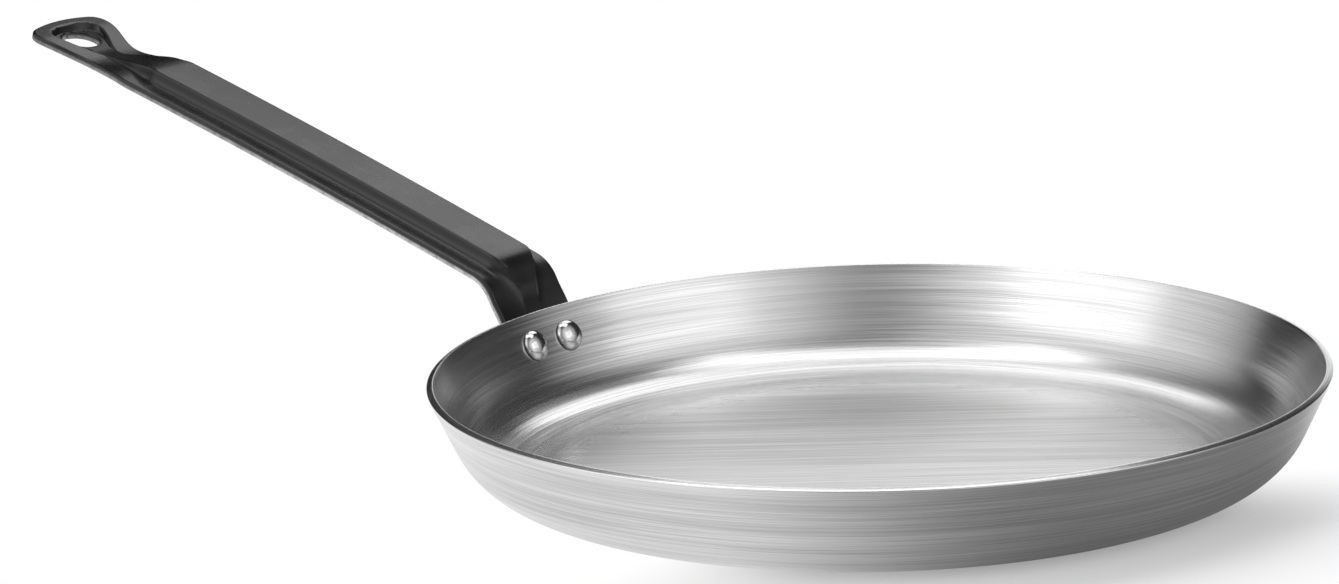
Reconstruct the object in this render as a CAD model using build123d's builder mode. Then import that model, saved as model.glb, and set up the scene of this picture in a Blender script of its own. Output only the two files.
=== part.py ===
from build123d import *
import math
import os

# Crepe pan: a pressed steel pan with flared walls, a pressed strip handle and two rivets.
# The origin is the centre of the flat base, on the surface that the pan stands on.
# +Z is up and the handle points along +X.

# Driving dimensions of the pan, in millimetres
rim_diameter = 300.0
rim_height = 34.4
wall_flare = 16.2
sheet_thickness = 2.5
corner_bend_radius = 28.0
rim_round = 0.5

# Driving dimensions of the handle strip
strip_thickness = 3.0
strip_width = 34.5
strip_edge_round = 0.8
foot_drop = 24.0
foot_corner_radius = 8.0
foot_rise = 7.4
foot_clearance = 0.02
elbow_radius = 19.0
stem_slope = 18.1
stem_bow_radius = 3970.0
stem_length = 220.0

# Rib pressed along the stem
rib_height = 5.0
stem_border_width = 3.65
rib_flank_run = 4.2
rib_rise_run = 7.0
rib_tongue_narrowing = 7.0
rib_end = 160.5
rib_underside_inset = 1.7

# Grip end with its neck, dish and hanging hole
neck_place = 190.0
neck_width = 24.4
neck_run_in = 23.0
neck_dip = 2.2
neck_dip_reach = 21.0
flare_run_out = 21.5
flare_width = 35.3
flare_corner_radius = 6.0
end_arc_radius = 45.0
border_width = 7.6
side_border_width = 5.2
end_border_width = 4.4
border_run_in = 5.0
dish_depth = 2.4
dish_flank_run = 1.2
dish_ramp_length = 36.0
hang_hole_from_end = 13.0
hang_hole_diameter = 14.0

# Rivets
rivet_spacing = 17.8
rivet_drop = 11.3
rivet_shank_diameter = 6.0
rivet_head_diameter = 11.0
rivet_head_height = 3.0
rivet_tail_diameter = 10.0
rivet_tail_height = 2.6
rivet_hole_clearance = 0.05

# Overrun of every cutting tool past the metal
cut_overrun = 6.0

# Counts of the sections that the handle's curved stretches are drawn through
rise_section_count = 4
elbow_section_count = 9
stem_section_count = 6
grip_section_count = 13

# Shape of a flank, as shares of its run and its height
flank_foot_share = 0.75
flank_top_share = 0.1
flank_rise_share = 0.25
underside_foot_share = 0.4

# Values worked out from the sizes above
rim_radius = rim_diameter / 2
base_corner_radius = rim_radius - wall_flare
wall_lean = math.atan2(wall_flare, rim_height)
wall_angle = math.pi / 2 - wall_lean
stem_angle = math.radians(stem_slope)
half_strip = strip_width / 2
elbow_turn = wall_angle - stem_angle
elbow_length = elbow_radius * elbow_turn
dish_end = stem_length - end_border_width - dish_flank_run
wall_offset = sheet_thickness * math.cos(wall_lean)
os.makedirs("parts", exist_ok=True)


# Line that the top face of the handle strip follows, seen from the side

def foot_point(rise):
    """Point on the straight foot, a length above the rim along the wall."""
    off = foot_clearance
    x = rim_radius + rise * math.sin(wall_lean) + off * math.cos(wall_lean)
    z = rim_height + rise * math.cos(wall_lean) - off * math.sin(wall_lean)
    return (x, z)


def arc_point(start, start_angle, radius, angle):
    """Point where the line has turned down from one slope to another on an arc."""
    x = start[0] + radius * (math.sin(start_angle) - math.sin(angle))
    z = start[1] + radius * (math.cos(angle) - math.cos(start_angle))
    return (x, z)


def strip_place(length):
    """Point and slope at a length from the end of the elbow, negative towards the foot."""
    if length >= 0:
        angle = stem_angle - length / stem_bow_radius
        return arc_point(elbow_end, stem_angle, stem_bow_radius, angle), angle
    if length >= -elbow_length:
        angle = stem_angle - length / elbow_radius
        return arc_point(elbow_begin, wall_angle, elbow_radius, angle), angle
    return foot_point(foot_rise + length + elbow_length), wall_angle


elbow_begin = foot_point(foot_rise)
elbow_end = arc_point(elbow_begin, wall_angle, elbow_radius, stem_angle)


def strip_plane(length):
    """Section plane across the strip: x to the side, y out of the strip's top face."""
    point, angle = strip_place(length)
    return Plane(
        origin=(point[0], 0, point[1]),
        x_dir=(0, 1, 0),
        z_dir=(math.cos(angle), 0, math.sin(angle)),
    )


def soft_step(value):
    """Smooth change from 0 to 1 while the value goes from 0 to 1."""
    value = min(max(value, 0), 1)
    return value * value * (3 - 2 * value)


# Widths and heights along the strip

def outline_half_width(length):
    """Half the strip's width, with the neck and the flare of the grip end."""
    into_neck = soft_step((length - neck_place + neck_run_in) / neck_run_in)
    out_of_neck = soft_step((length - neck_place) / flare_run_out)
    width = strip_width + (neck_width - strip_width) * into_neck
    width = width + (flare_width - neck_width) * out_of_neck
    return width / 2


def border_level(length):
    """Height of the strip's flat borders, which dip at the neck."""
    reach = min(abs(length - neck_place) / neck_dip_reach, 1)
    return -neck_dip * (1 + math.cos(math.pi * reach)) / 2


def middle_level(length):
    """Height of the strip's middle: the rib, then the ramp down to the dish, then its end."""
    rib_share = soft_step((length + elbow_length) / rib_rise_run)
    ramp_share = soft_step((length - rib_end) / dish_ramp_length)
    rise_share = soft_step((length - dish_end) / dish_flank_run)
    level = rib_height * rib_share
    level = level - (rib_height + dish_depth) * ramp_share
    return level + dish_depth * rise_share


def border_run(length):
    """Width of the flat border beside the flank, wider on the elbow, where the rib's end is narrow."""
    tongue = 1 - soft_step((length + elbow_length) / elbow_length)
    widen = soft_step((length - rib_end) / border_run_in)
    narrow = soft_step((length - neck_place) / flare_run_out)
    run = stem_border_width + rib_tongue_narrowing * tongue
    run = run + (border_width - stem_border_width) * widen
    return run + (side_border_width - border_width) * narrow


def flank_run(length):
    """Width of the flank between the border and the middle."""
    change = soft_step((length - rib_end) / border_run_in)
    return rib_flank_run + (dish_flank_run - rib_flank_run) * change


# Sections of the strip

def strip_side(half, flat, edge_y):
    """Narrow side of the strip with its two rounded edges, from the top face to the underside."""
    low = edge_y - strip_thickness
    Bezier((flat, edge_y), (half, edge_y), (half, edge_y - strip_edge_round))
    Line((half, edge_y - strip_edge_round), (half, low + strip_edge_round))
    Bezier((half, low + strip_edge_round), (half, low), (flat, low))


def plain_section(length, crown):
    """Plain strip section, crowned to lie round the wall."""
    flat = half_strip - strip_edge_round
    edge_y = crown * (flat / half_strip) ** 2
    low = -strip_thickness
    with BuildSketch(strip_plane(length)) as section:
        with BuildLine():
            Bezier((-flat, edge_y), (0, -edge_y), (flat, edge_y))
            strip_side(half_strip, flat, edge_y)
            Bezier((flat, edge_y + low), (0, low - edge_y), (-flat, edge_y + low))
            strip_side(-half_strip, -flat, edge_y)
        make_face()
    return section.sketch


def flank_points(border, middle, border_y, middle_y):
    """Four control points of a concave flank, from the border up to the middle."""
    run = border - middle
    rise = middle_y - border_y
    return [
        (border, border_y),
        (border - run * flank_foot_share, border_y),
        (middle + run * flank_top_share, border_y + rise * flank_rise_share),
        (middle, middle_y),
    ]


def mirrored(points):
    """The same points on the other side, in the other order."""
    return [(-x, y) for x, y in reversed(points)]


def ribbed_section(length):
    """Strip section with flat borders, flanks and a raised or sunk middle."""
    half = outline_half_width(length)
    flat = half - strip_edge_round
    edge_y = border_level(length)
    middle_y = middle_level(length)
    border = half - border_run(length)
    middle = border - flank_run(length)
    inset = rib_underside_inset * (middle_y - edge_y) / rib_height
    low = -strip_thickness
    top = flank_points(border, middle, edge_y, middle_y)
    under = flank_points(
        border - inset * underside_foot_share, middle - inset, edge_y + low, middle_y + low
    )
    with BuildSketch(strip_plane(length)) as section:
        with BuildLine():
            Line((flat, edge_y), top[0])
            Bezier(*top)
            Line(top[-1], mirrored(top)[0])
            Bezier(*mirrored(top))
            Line(mirrored(top)[-1], (-flat, edge_y))
            strip_side(-half, -flat, edge_y)
            Line((-flat, edge_y + low), mirrored(under)[-1])
            Bezier(*reversed(mirrored(under)))
            Line(mirrored(under)[0], under[-1])
            Bezier(*reversed(under))
            Line(under[0], (flat, edge_y + low))
            strip_side(half, flat, edge_y)
        make_face()
    return section.sketch


def evenly(start, end, count):
    """Evenly spaced lengths from a start to an end."""
    return [start + (end - start) * index / (count - 1) for index in range(count)]


def wall_crown(rise):
    """How far the wall falls away from the strip's edge at a height on the wall."""
    across_radius = (rim_radius + rise * math.sin(wall_lean)) / math.cos(wall_lean)
    return half_strip**2 / (2 * across_radius)


# Planes that lie on the strip and on the wall

def face_plane(length, forward=1):
    """Plane on the strip's top face: x forward or back along the strip, z out of the face."""
    point, angle = strip_place(length)
    return Plane(
        origin=(point[0], 0, point[1]),
        x_dir=(forward * math.cos(angle), 0, forward * math.sin(angle)),
        z_dir=(-math.sin(angle), 0, math.cos(angle)),
    )


rivet_circle_radius = rim_radius - rivet_drop * math.sin(wall_lean)
rivet_centre_height = rim_height - rivet_drop * math.cos(wall_lean)
rivet_inner_radius = rivet_circle_radius - wall_offset
rivet_angle = math.asin(rivet_spacing / 2 / rivet_inner_radius)


def rivet_axes(side):
    """Centre on the wall's outside, direction along the wall and direction into the pan."""
    turn = side * rivet_angle
    centre = Vector(
        rivet_circle_radius * math.cos(turn),
        rivet_circle_radius * math.sin(turn),
        rivet_centre_height,
    )
    along = Vector(-math.sin(turn), math.cos(turn), 0)
    inward = Vector(
        -math.cos(wall_lean) * math.cos(turn),
        -math.cos(wall_lean) * math.sin(turn),
        math.sin(wall_lean),
    )
    return centre, along, inward


def rivet_hole_plane(side):
    """Plane square to a rivet, on the outside of the wall."""
    centre, along, inward = rivet_axes(side)
    return Plane(origin=centre, x_dir=along, z_dir=inward)


def rivet_profile_plane(side):
    """Plane that holds a rivet's axis, which is its y direction."""
    centre, along, inward = rivet_axes(side)
    return Plane(origin=centre, x_dir=along, z_dir=along.cross(inward))


rivet_hole_radius = rivet_shank_diameter / 2 + rivet_hole_clearance
rivet_sides = {"rivet_left": 1, "rivet_right": -1}


# Pan body

inner_bend_radius = corner_bend_radius - sheet_thickness
inner_rim = (rim_radius - wall_offset, rim_height + sheet_thickness * math.sin(wall_lean))
inner_corner = (base_corner_radius - sheet_thickness * math.tan(wall_angle / 2), sheet_thickness)

with BuildPart() as pan_body:
    # The outside line runs along the base, round the corner bend and up the wall
    with BuildSketch(Plane.XZ):
        with BuildLine():
            outside = FilletPolyline(
                (0, 0), (base_corner_radius, 0), (rim_radius, rim_height),
                radius=corner_bend_radius,
            )
            inside = FilletPolyline(
                (0, sheet_thickness), inner_corner, inner_rim,
                radius=inner_bend_radius,
            )
            Line(outside @ 1, inside @ 1)
            Line(outside @ 0, inside @ 0)
        make_face()
    revolve(axis=Axis.Z)
    circles = pan_body.edges().filter_by(GeomType.CIRCLE)
    fillet(circles.group_by(SortBy.RADIUS)[-1] + circles.group_by(SortBy.RADIUS)[-2], rim_round)
    for side in rivet_sides.values():
        with BuildSketch(rivet_hole_plane(side)):
            Circle(rivet_hole_radius)
        extrude(amount=cut_overrun, both=True, mode=Mode.SUBTRACT)
pan_body.part.label = "pan_body"
export_step(pan_body.part, "parts/pan_body.step")


# Handle

rim_place = -elbow_length - foot_rise
foot_end = rim_place - foot_drop
grip_end = stem_length + cut_overrun

# Corner arcs of the grip end, measured from the end of the strip
corner_side = flare_width / 2 - flare_corner_radius
corner_reach = math.sqrt((end_arc_radius - flare_corner_radius) ** 2 - corner_side**2)
corner_angle = math.atan2(corner_side, corner_reach)
corner_start = (corner_reach - end_arc_radius, flare_width / 2)
corner_end = (
    end_arc_radius * (math.cos(corner_angle) - 1),
    end_arc_radius * math.sin(corner_angle),
)

# Corner arcs of the foot, measured from its end
foot_corner_start = (-foot_corner_radius, half_strip)
foot_corner_end = (0, half_strip - foot_corner_radius)


def across(point):
    """The same point on the other side of the strip."""
    return (point[0], -point[1])


def waste_border(start):
    """Border of the waste beyond a strip end, from the start of one corner to the other."""
    side = start[1] + cut_overrun
    Polyline(
        start, (start[0], side), (2 * cut_overrun, side),
        (2 * cut_overrun, -side), (start[0], -side), across(start),
    )


with BuildPart() as handle:
    # Foot plate, curved to the wall
    for place, rise in ((foot_end, -foot_drop), (rim_place, 0)):
        add(plain_section(place, wall_crown(rise)))
    loft(ruled=True)
    # The foot's end is cut to rounded corners
    with BuildSketch(face_plane(foot_end, -1)):
        with BuildLine():
            RadiusArc(foot_corner_start, foot_corner_end, foot_corner_radius)
            Line(foot_corner_end, across(foot_corner_end))
            RadiusArc(across(foot_corner_end), across(foot_corner_start), foot_corner_radius)
            waste_border(foot_corner_start)
        make_face()
    extrude(amount=strip_thickness + cut_overrun, both=True, mode=Mode.SUBTRACT)
    # Straight rise, where the crown fades
    for place in evenly(rim_place, -elbow_length, rise_section_count):
        fade = soft_step((-elbow_length - place) / foot_rise)
        add(plain_section(place, wall_crown(0) * fade))
    loft()
    # Elbow, where the rib comes up and widens
    for place in evenly(-elbow_length, 0, elbow_section_count):
        add(ribbed_section(place))
    loft()
    # Ribbed stem
    for place in evenly(0, rib_end, stem_section_count):
        add(ribbed_section(place))
    loft()
    # Grip end, from the ramp over the neck to the dish
    for place in evenly(rib_end, dish_end, grip_section_count):
        add(ribbed_section(place))
    loft()
    # Rise out of the dish, then the flat end border
    for place in (dish_end, dish_end + dish_flank_run, grip_end):
        add(ribbed_section(place))
    loft(ruled=True)
    # The strip's end is cut to a shallow arc with rounded corners
    with BuildSketch(face_plane(stem_length)):
        with BuildLine():
            RadiusArc(corner_start, corner_end, flare_corner_radius)
            ThreePointArc(corner_end, (0, 0), across(corner_end))
            RadiusArc(across(corner_end), across(corner_start), flare_corner_radius)
            waste_border(corner_start)
        make_face()
    extrude(amount=strip_thickness + cut_overrun, both=True, mode=Mode.SUBTRACT)
    # Hanging hole
    with BuildSketch(face_plane(stem_length - hang_hole_from_end)):
        Circle(hang_hole_diameter / 2)
    extrude(amount=cut_overrun + dish_depth, both=True, mode=Mode.SUBTRACT)
    for side in rivet_sides.values():
        with BuildSketch(rivet_hole_plane(side)):
            Circle(rivet_hole_radius)
        extrude(amount=cut_overrun, both=True, mode=Mode.SUBTRACT)
handle.part.label = "handle"
export_step(handle.part, "parts/handle.step")


# Rivets: a domed head inside the pan, a shank through both sheets and a formed tail outside

head_radius = rivet_head_diameter / 2
tail_radius = rivet_tail_diameter / 2
shank_radius = rivet_shank_diameter / 2
head_seat = sheet_thickness + head_radius**2 * math.cos(wall_lean) / (2 * rivet_inner_radius)
tail_seat = -strip_thickness - foot_clearance
head_top = (0, head_seat + rivet_head_height)
tail_top = (0, tail_seat - rivet_tail_height)
head_arc_radius = (head_radius**2 + rivet_head_height**2) / (2 * rivet_head_height)
tail_arc_radius = (tail_radius**2 + rivet_tail_height**2) / (2 * rivet_tail_height)


def rivet_solid(side):
    """One rivet, turned about its own axis."""
    plane = rivet_profile_plane(side)
    with BuildPart() as rivet:
        with BuildSketch(plane):
            with BuildLine():
                RadiusArc(head_top, (head_radius, head_seat), head_arc_radius)
                Line((head_radius, head_seat), (shank_radius, head_seat))
                Line((shank_radius, head_seat), (shank_radius, tail_seat))
                Line((shank_radius, tail_seat), (tail_radius, tail_seat))
                RadiusArc((tail_radius, tail_seat), tail_top, tail_arc_radius)
                Line(tail_top, head_top)
            make_face()
        revolve(axis=Axis(plane.origin, plane.y_dir))
    return rivet.part


for name, side in rivet_sides.items():
    rivet = rivet_solid(side)
    rivet.label = name
    export_step(rivet, f"parts/{name}.step")
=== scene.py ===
"""Crepe pan: a flared steel pan with a black pressed strip handle and two rivets."""

import math

import bpy
from bpy.props import FloatProperty, FloatVectorProperty, IntProperty, PointerProperty
from mathutils import Matrix, Vector


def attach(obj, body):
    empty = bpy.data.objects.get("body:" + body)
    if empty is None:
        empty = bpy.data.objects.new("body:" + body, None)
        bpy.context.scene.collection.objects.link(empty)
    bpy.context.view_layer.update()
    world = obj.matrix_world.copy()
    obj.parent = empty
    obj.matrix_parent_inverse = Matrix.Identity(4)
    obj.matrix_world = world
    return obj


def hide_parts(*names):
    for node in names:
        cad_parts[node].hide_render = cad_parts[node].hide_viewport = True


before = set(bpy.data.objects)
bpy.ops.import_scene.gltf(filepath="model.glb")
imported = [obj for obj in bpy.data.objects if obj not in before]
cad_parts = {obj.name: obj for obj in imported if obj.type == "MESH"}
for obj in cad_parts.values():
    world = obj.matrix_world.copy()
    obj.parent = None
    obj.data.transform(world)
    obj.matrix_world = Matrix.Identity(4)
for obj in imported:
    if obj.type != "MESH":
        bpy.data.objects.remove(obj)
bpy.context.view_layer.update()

bl_info = {
    "name": "Crepe Pan",
    "version": (1, 0, 0),
    "blender": (4, 5, 0),
    "location": "View3D > Sidebar > Crepe Pan",
    "description": "Models a steel crepe pan with a riveted strip handle",
    "category": "Object",
}

# Point attributes that the materials read
EDGE = "strip_edge"
# head_foot marks the rivets' feet, where painted shade darkens the head at the pan
FOOT = "head_foot"


def length(name, default, description):
    """A length in metres that a user can change."""
    return FloatProperty(
        name=name, description=description, default=default, min=0.0, precision=5, unit="LENGTH"
    )


def angle(name, default, description):
    """An angle that a user can change, given here in degrees."""
    return FloatProperty(
        name=name, description=description, default=math.radians(default), subtype="ANGLE"
    )


def colour(name, default, description):
    """A plain colour that a user can change."""
    return FloatVectorProperty(
        name=name, description=description, default=default, subtype="COLOR", min=0.0, max=1.0
    )


# Sizes and colours that a user would change

class PanSizes(bpy.types.PropertyGroup):
    """Sizes of the pressed steel pan."""

    rim_radius: length("Rim radius", 0.150, "Outer radius of the rim")
    rim_height: length("Rim height", 0.0344, "Height of the rim's outer edge")
    wall_flare: length("Wall flare", 0.0162, "How far the wall leans out from base to rim")
    sheet: length("Sheet", 0.0025, "Thickness of the steel sheet")
    bend_radius: length("Corner bend", 0.028, "Outer radius of the bend between base and wall")
    rim_round: length("Rim rounding", 0.0005, "Rounding of the rim's two edges")
    around: IntProperty(
        name="Steps around", description="Faces around the pan", default=256, min=32
    )


class HandleSizes(bpy.types.PropertyGroup):
    """Sizes of the pressed strip handle."""

    thickness: length("Strip thickness", 0.003, "Thickness of the steel strip")
    width: length("Strip width", 0.0345, "Width of the strip along the stem")
    edge_round: length("Edge rounding", 0.0008, "Rounding of the strip's edges")
    foot_drop: length("Foot length", 0.024, "Length of the foot below the rim")
    foot_corner: length("Foot corner", 0.008, "Radius of the foot's lower corners")
    foot_rise: length("Foot rise", 0.0091, "Straight length above the rim, before the elbow")
    elbow_radius: length("Elbow radius", 0.015, "Radius of the elbow at the strip's top face")
    stem_slope: angle("Stem slope", 18.1, "Slope of the stem where it leaves the elbow")
    stem_bow: length("Stem bow", 3.97, "Radius of the stem's slight downward bow")
    stem_length: length("Stem length", 0.2217, "Length from the elbow's end to the tip")
    rib_height: length("Rib height", 0.005, "Height of the pressed rib")
    stem_border: length("Stem border", 0.00365, "Flat border beside the rib")
    rib_flank: length("Rib flank", 0.0042, "Width of the rib's flank")
    rib_low: length("Rib low end", 0.008, "Where the rib starts below the elbow")
    rib_rise: length("Rib rise", 0.0215, "Length over which the rib rises on the elbow")
    rib_tongue: length("Rib tongue", 0.0055, "How much narrower each side of the rib starts")
    rib_end: length("Rib end", 0.1622, "Where the rib ends and the ramp begins")
    neck_place: length("Neck place", 0.1917, "Where the strip is narrowest")
    neck_width: length("Neck width", 0.0244, "Width at the neck")
    neck_run_in: length("Neck run-in", 0.023, "Length of the taper into the neck")
    neck_dip: length("Neck dip", 0.0022, "How far the borders dip at the neck")
    neck_dip_reach: length("Neck dip reach", 0.021, "Half the length of the dip")
    flare_run_out: length("Flare run-out", 0.0215, "Length of the flare after the neck")
    flare_width: length("Flare width", 0.0353, "Width of the flared end")
    flare_corner: length("Flare corner", 0.006, "Radius of the flared end's corners")
    end_arc: length("End arc", 0.045, "Radius of the rounded tip")
    grip_border: length("Grip border", 0.0076, "Width of the border where the rib ends")
    side_border: length("Side border", 0.0052, "Width of the border beside the hole")
    end_border: length("End border", 0.0044, "Width of the border at the tip")
    border_run_in: length("Border run-in", 0.005, "Length over which the border widens")
    dish_depth: length("Dish depth", 0.0024, "Depth of the dish around the hole")
    dish_flank: length("Dish flank", 0.0012, "Width of the dish's flank")
    ramp_length: length("Ramp length", 0.036, "Length of the ramp from rib to dish")
    hole_from_end: length("Hole from end", 0.013, "Distance of the hole's centre from the tip")
    hole_diameter: length("Hole diameter", 0.014, "Diameter of the hanging hole")


class RivetSizes(bpy.types.PropertyGroup):
    """Sizes of the two rivets."""

    spacing: length("Spacing", 0.0178, "Distance between the rivets")
    drop: length("Drop", 0.0113, "Distance of the rivets below the rim, along the wall")
    shank_diameter: length("Shank diameter", 0.006, "Diameter of the shank")
    head_diameter: length("Head diameter", 0.011, "Diameter of the domed head")
    head_height: length("Head height", 0.003, "Height of the domed head")
    tail_diameter: length("Tail diameter", 0.010, "Diameter of the formed tail")
    tail_height: length("Tail height", 0.0026, "Height of the formed tail")


class FinishSettings(bpy.types.PropertyGroup):
    """Colours of the finishes, the floor and the background."""

    steel_light: colour("Steel light", (0.73, 0.73, 0.73), "Bright lines of the brushed steel")
    steel_dark: colour("Steel dark", (0.46, 0.46, 0.46), "Dark lines of the brushed steel")
    rivet_steel: colour("Rivet steel", (0.66, 0.66, 0.66), "Polished rivet steel")
    lacquer: colour("Lacquer", (0.007, 0.007, 0.007), "Black lacquer on the handle")
    lacquer_worn: colour("Lacquer worn", (0.016, 0.016, 0.016), "Rubbed patches of the lacquer")
    bare_edge: colour("Bare edge", (0.55, 0.55, 0.55), "Steel under the rubbed lacquer")
    backdrop: colour("Backdrop", (1.0, 1.0, 1.0), "White background")
    floor: colour("Floor", (0.93, 0.93, 0.93), "Pale floor")


class StageSettings(bpy.types.PropertyGroup):
    """Camera and lamps. Azimuths count from the camera, to its right."""

    distance: length("Distance", 2.2, "Distance of the camera from the pan's middle")
    bearing: angle("Bearing", 128.05, "Direction of the camera, from the handle's axis")
    elevation: angle("Elevation", 15.316, "Height of the camera over the floor, as an angle")
    turn: angle("Turn", -1.7955, "Turn of the camera away from the pan's middle")
    tilt: angle("Tilt", -1.5927, "Tilt of the camera away from the pan's middle")
    roll: angle("Roll", 1.2761, "Roll of the camera")
    lens: FloatProperty(
        name="Lens", description="Focal length", default=177.81, subtype="DISTANCE_CAMERA"
    )
    floor_size: length("Floor size", 30.0, "Width of the floor")


# Small helpers for modelling

# Distances that count as none: in merging, in general, at the centre line and at a rivet's seat
MERGE_DISTANCE = 2e-6
TINY = 1e-6
MIDDLE_REACH = 1e-7
SEAT_SLACK = 1e-5


def deselect_all():
    """Leaves nothing selected and no mode active."""
    if bpy.context.object and bpy.context.object.mode != "OBJECT":
        bpy.ops.object.mode_set(mode="OBJECT")
    bpy.ops.object.select_all(action="DESELECT")


def start_object(name):
    """Names the object that a primitive operator has just made."""
    piece = bpy.context.object
    piece.name = name
    piece.data.name = name
    return piece


def clean_shell():
    """Merges doubled points of the active piece and turns every face outwards."""
    bpy.ops.object.mode_set(mode="EDIT")
    bpy.ops.mesh.select_mode(type="VERT")
    bpy.ops.mesh.select_all(action="SELECT")
    bpy.ops.mesh.remove_doubles(threshold=MERGE_DISTANCE)
    bpy.ops.mesh.normals_make_consistent(inside=False)
    bpy.ops.object.mode_set(mode="OBJECT")


def finish_piece(piece, material, smooth_angle):
    """Smooths a piece, gives it its material and sets it on the frame."""
    bpy.ops.object.shade_smooth_by_angle(angle=math.radians(smooth_angle))
    piece.data.materials.clear()
    piece.data.materials.append(material)
    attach(piece, "root")
    deselect_all()


def arc_points(centre, radius, start, end, steps):
    """Points on an arc, with angles in radians counted from the first axis."""
    points = []
    for index in range(steps + 1):
        turn = start + (end - start) * index / steps
        points.append((centre[0] + radius * math.cos(turn), centre[1] + radius * math.sin(turn)))
    return points


def turned_piece(name, profile, steps):
    """Spins a profile of (radius, height) points around the Z axis to a closed shell."""
    deselect_all()
    bpy.ops.mesh.primitive_plane_add(size=1.0, location=(0, 0, 0))
    piece = start_object(name)
    bpy.ops.object.mode_set(mode="EDIT")
    bpy.ops.mesh.select_mode(type="VERT")
    bpy.ops.mesh.select_all(action="SELECT")
    bpy.ops.mesh.merge(type="CENTER")
    first = profile[0]
    bpy.ops.transform.translate(value=(first[0], 0, first[1]))
    place = first
    for point in profile[1:]:
        step = (point[0] - place[0], 0, point[1] - place[1])
        bpy.ops.mesh.extrude_vertices_move(TRANSFORM_OT_translate={"value": step})
        place = point
    bpy.ops.mesh.select_all(action="SELECT")
    bpy.ops.mesh.spin(steps=steps, angle=2 * math.pi, center=(0, 0, 0), axis=(0, 0, 1))
    bpy.ops.object.mode_set(mode="OBJECT")
    clean_shell()
    return piece


# Shader helpers

def link(tree, source, target):
    """Feeds an input from a socket, or sets a plain value on it."""
    if isinstance(source, bpy.types.NodeSocket):
        tree.links.new(source, target)
    else:
        target.default_value = source


def fill(tree, node, **sources):
    """Feeds a node's inputs by their names, from sockets or plain values."""
    for name, source in sources.items():
        link(tree, source, node.inputs[name.replace("_", " ")])


def maths(tree, operation, *terms):
    """A Math node's value, for sockets or plain numbers."""
    node = tree.nodes.new("ShaderNodeMath")
    node.operation = operation
    for term, target in zip(terms, node.inputs):
        link(tree, term, target)
    return node.outputs[0]


def vector_maths(tree, operation, *terms, scale=None):
    """A Vector Math node's vector or value, for sockets or plain vectors."""
    node = tree.nodes.new("ShaderNodeVectorMath")
    node.operation = operation
    for term, target in zip(terms, node.inputs):
        link(tree, term, target)
    if scale is not None:
        fill(tree, node, Scale=scale)
    return node.outputs["Value" if operation in ("LENGTH", "DOT_PRODUCT") else "Vector"]


def noise(tree, vector, scale, detail=2.0, roughness=0.5):
    """A noise pattern's factor."""
    node = tree.nodes.new("ShaderNodeTexNoise")
    fill(tree, node, Vector=vector, Scale=scale, Detail=detail, Roughness=roughness)
    return node.outputs["Fac"]


def spread(tree, value, low, high, to_low=0.0, to_high=1.0):
    """Maps a value from one range to another, smoothly and within its limits."""
    node = tree.nodes.new("ShaderNodeMapRange")
    node.interpolation_type = "SMOOTHSTEP"
    fill(tree, node, Value=value, From_Min=low, From_Max=high, To_Min=to_low, To_Max=to_high)
    return node.outputs["Result"]


def turned_to(tree, guide, direction):
    """A fixed direction, turned round where it points against a guiding vector."""
    side = maths(tree, "SIGN", vector_maths(tree, "DOT_PRODUCT", guide, direction))
    return vector_maths(tree, "SCALE", direction, scale=side)


def object_place(tree):
    """The place of a point in the object's own coordinates."""
    return tree.nodes.new("ShaderNodeTexCoord").outputs["Object"]


def axis_part(tree, vector, axis):
    """One part of a vector, by the name of its axis."""
    node = tree.nodes.new("ShaderNodeSeparateXYZ")
    link(tree, vector, node.inputs[0])
    return node.outputs[axis]


def attribute(tree, name):
    """A value that the mesh carries at its points."""
    node = tree.nodes.new("ShaderNodeAttribute")
    node.attribute_name = name
    return node.outputs["Fac"]


def add_bump(tree, shader, height, strength, distance, normal=None):
    """Gives a shader a bump from a pattern, up to a distance in metres."""
    node = tree.nodes.new("ShaderNodeBump")
    fill(tree, node, Strength=strength, Distance=distance, Height=height)
    if normal is not None:
        fill(tree, node, Normal=normal)
    fill(tree, shader, Normal=node.outputs[0])


def mix(tree, factor, first, second, kind="RGBA"):
    """Mixes two colours, two values or two vectors by a factor."""
    node = tree.nodes.new("ShaderNodeMix")
    node.data_type = kind
    link(tree, factor, node.inputs["Factor"])
    # The node has its own pair of inputs and its own output for each kind
    places = {"RGBA": (6, 7, 2), "FLOAT": (2, 3, 0), "VECTOR": (4, 5, 1)}
    into_first, into_second, output = places[kind]
    link(tree, first, node.inputs[into_first])
    link(tree, second, node.inputs[into_second])
    return node.outputs[output]


def new_group(name, inputs, outputs):
    """An empty shader node group with named sockets."""
    group = bpy.data.node_groups.new(name, "ShaderNodeTree")
    for socket, kind, default in inputs:
        made = group.interface.new_socket(name=socket, in_out="INPUT", socket_type=kind)
        if default is not None:
            made.default_value = default
    for socket, kind in outputs:
        group.interface.new_socket(name=socket, in_out="OUTPUT", socket_type=kind)
    given = group.nodes.new("NodeGroupInput").outputs
    wanted = group.nodes.new("NodeGroupOutput").inputs
    return group, given, wanted


def new_material(name):
    """A material with its Principled shader."""
    material = bpy.data.materials.new(name)
    material.use_nodes = True
    return material, material.node_tree, material.node_tree.nodes["Principled BSDF"]


def use_group(tree, group, **sources):
    """Places a group in a material, fed by sockets or plain values."""
    node = tree.nodes.new("ShaderNodeGroup")
    node.node_tree = group
    fill(tree, node, **sources)
    return node.outputs


def rgba(plain):
    """A colour property with full alpha."""
    return (plain[0], plain[1], plain[2], 1.0)


# Finishes

# The straight brushing of the pan's base gives way to round brushing between these radii
STRAIGHT_UNTIL = 0.100
ROUND_FROM = 0.126
# How far that border wavers
BORDER_WOBBLE = 0.012
# Noise cells to a metre: along and across the straight lines, and across the round ones
STRAIGHT_CELLS = (12.0, 750.0, 0.0)
ROUND_CELLS = 2300.0
# Noise cells to a radian round the pan
CIRCLE_CELLS = 2.4
# Lean of each line along itself, as a slope
LINE_LEAN = 0.055


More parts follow.
